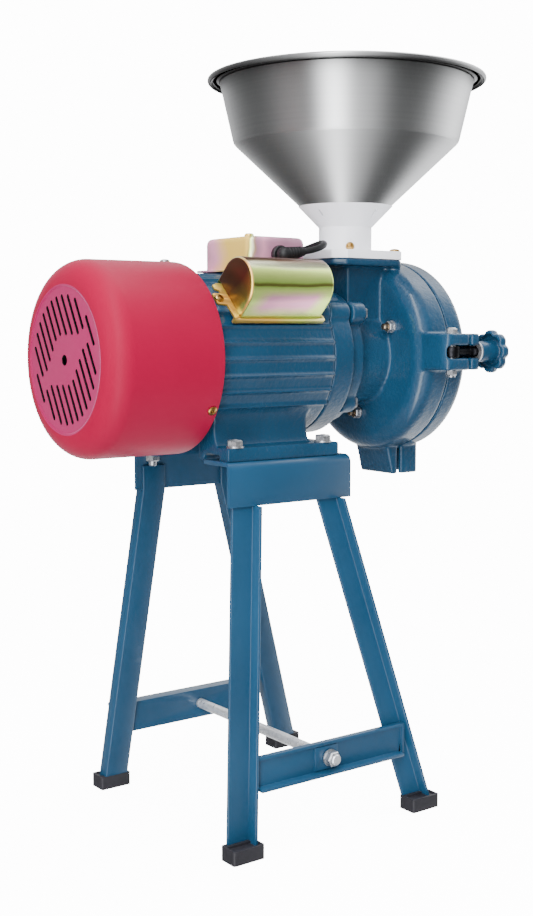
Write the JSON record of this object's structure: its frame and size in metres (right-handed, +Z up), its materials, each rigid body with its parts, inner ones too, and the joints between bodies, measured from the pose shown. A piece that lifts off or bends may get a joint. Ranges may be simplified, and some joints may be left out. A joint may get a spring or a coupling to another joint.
{
  "type": "electric grain mill",
  "caption": "Disc mill bolted to a foot-mounted motor on a splayed steel stand, with a flared hopper on a collar, a side-hinged front cover and a swing bolt latch.",
  "frame": {"origin": "on the floor, at the centre of the box around the machine without its free cord", "axes": "+X along the motor shaft towards the mill, +Y to the far side from the latch, +Z up"},
  "size_m": [0.4524, 0.274, 0.707],
  "materials": {
    "blue_paint": "gloss paint on steel",
    "blue_casting": "gloss paint on cast metal, light orange peel",
    "red_paint": "satin paint",
    "yellow_zinc": "iridescent yellow zinc plating",
    "zinc": "bright zinc plating",
    "stainless": "polished stainless sheet",
    "steel": "machined steel",
    "laminate": "stacked electrical steel",
    "aluminium": "cast",
    "cast_iron": "as cast, ground faces",
    "copper": "varnished copper wire",
    "brass": "bright",
    "black_rubber": "matte",
    "boot_rubber": "matte",
    "black_plastic": "satin",
    "white_plastic": "semi-gloss",
    "brown_plastic": "moulded phenolic"
  },
  "bodies": {
    "base": {"near_rail": "blue_paint", "far_rail": "blue_paint", "near_left_leg": "blue_paint", "near_right_leg": "blue_paint", "far_left_leg": "blue_paint", "far_right_leg": "blue_paint", "near_crossbar": "blue_paint", "far_crossbar": "blue_paint", "tie_rod": "zinc", "tie_rod_nuts": "zinc", "rubber_boots": "boot_rubber", "foot_bolts": "zinc", "foot_nuts": "zinc", "motor_frame": "blue_casting", "stator_core": "laminate", "stator_windings": "copper", "bearing_outer_rings": "steel", "rear_end_shield": "blue_casting", "rear_shield_screws": "zinc", "drive_end_shield": "blue_casting", "fan_cover": "red_paint", "fan_cover_screws": "zinc", "terminal_box_base": "yellow_zinc", "terminal_box_lid": "yellow_zinc", "terminal_box_screw": "yellow_zinc", "terminal_block": "brown_plastic", "cable_gland": "black_rubber", "capacitor_bracket": "yellow_zinc", "capacitor_cover": "yellow_zinc", "capacitor": "white_plastic", "capacitor_screws": "brass", "mill_housing": "blue_casting", "mill_bolts": "zinc", "hinge_pin": "zinc", "static_disc": "cast_iron", "disc_studs": "zinc", "latch_pin": "zinc", "feed_collar": "white_plastic", "collar_screws": "brass", "hopper": "stainless", "power_cord": "black_rubber", "cord_hank": "black_rubber", "cord_tie": "black_plastic", "plug": "black_plastic"},
    "rotor": {"motor_shaft": "steel", "rotor_core": "laminate", "bearing_inner_rings": "steel", "bearing_balls": "steel", "cooling_fan": "black_plastic", "feed_auger": "steel"},
    "moving_disc": {"rotating_disc": "cast_iron"},
    "cover": {"front_cover": "blue_casting", "cover_seal": "black_rubber"},
    "thrust": {"thrust_pad": "steel"},
    "adjuster": {"adjusting_screw": "zinc", "adjusting_knob": "black_plastic", "adjusting_lock_nut": "zinc"},
    "latch": {"eye_bolt": "steel"},
    "latch_slider": {"latch_washer": "zinc"},
    "knob": {"star_knob": "blue_casting"}
  },
  "joints": [
    {"name": "rotor_spin", "type": "hinge", "parent": "base", "child": "rotor", "pos_m": [-0.11675, 0, 0.435], "axis": [1, 0, 0], "continuous": true},
    {"name": "disc_feed", "type": "slide", "parent": "rotor", "child": "moving_disc", "axis": [1, 0, 0], "range_m": [0, 0.004]},
    {"name": "cover_swing", "type": "hinge", "parent": "base", "child": "cover", "pos_m": [0.14525, 0.108, 0.435], "axis": [0, 0, 1], "range_deg": [0, 105]},
    {"name": "thrust_feed", "type": "slide", "parent": "cover", "child": "thrust", "axis": [1, 0, 0], "range_m": [0, 0.004]},
    {"name": "adjust_turn", "type": "hinge", "parent": "thrust", "child": "adjuster", "pos_m": [0.18325, 0, 0.435], "axis": [1, 0, 0], "range_deg": [0, 720]},
    {"name": "latch_swing", "type": "hinge", "parent": "base", "child": "latch", "pos_m": [0.12525, -0.116, 0.44], "axis": [0, 0, -1], "range_deg": [0, 110]},
    {"name": "washer_feed", "type": "slide", "parent": "latch", "child": "latch_slider", "axis": [1, 0, 0], "range_m": [0, 0.0045]},
    {"name": "knob_turn", "type": "hinge", "parent": "latch_slider", "child": "knob", "pos_m": [0.18325, -0.116, 0.44], "axis": [1, 0, 0], "range_deg": [0, 1080]}
  ],
  "couplings": [
    {"joint": "disc_feed", "follows": "thrust_feed", "ratio": 1},
    {"joint": "adjust_turn", "follows": "thrust_feed", "rad_per_m": 3141.6},
    {"joint": "knob_turn", "follows": "washer_feed", "rad_per_m": 4188.8}
  ]
}
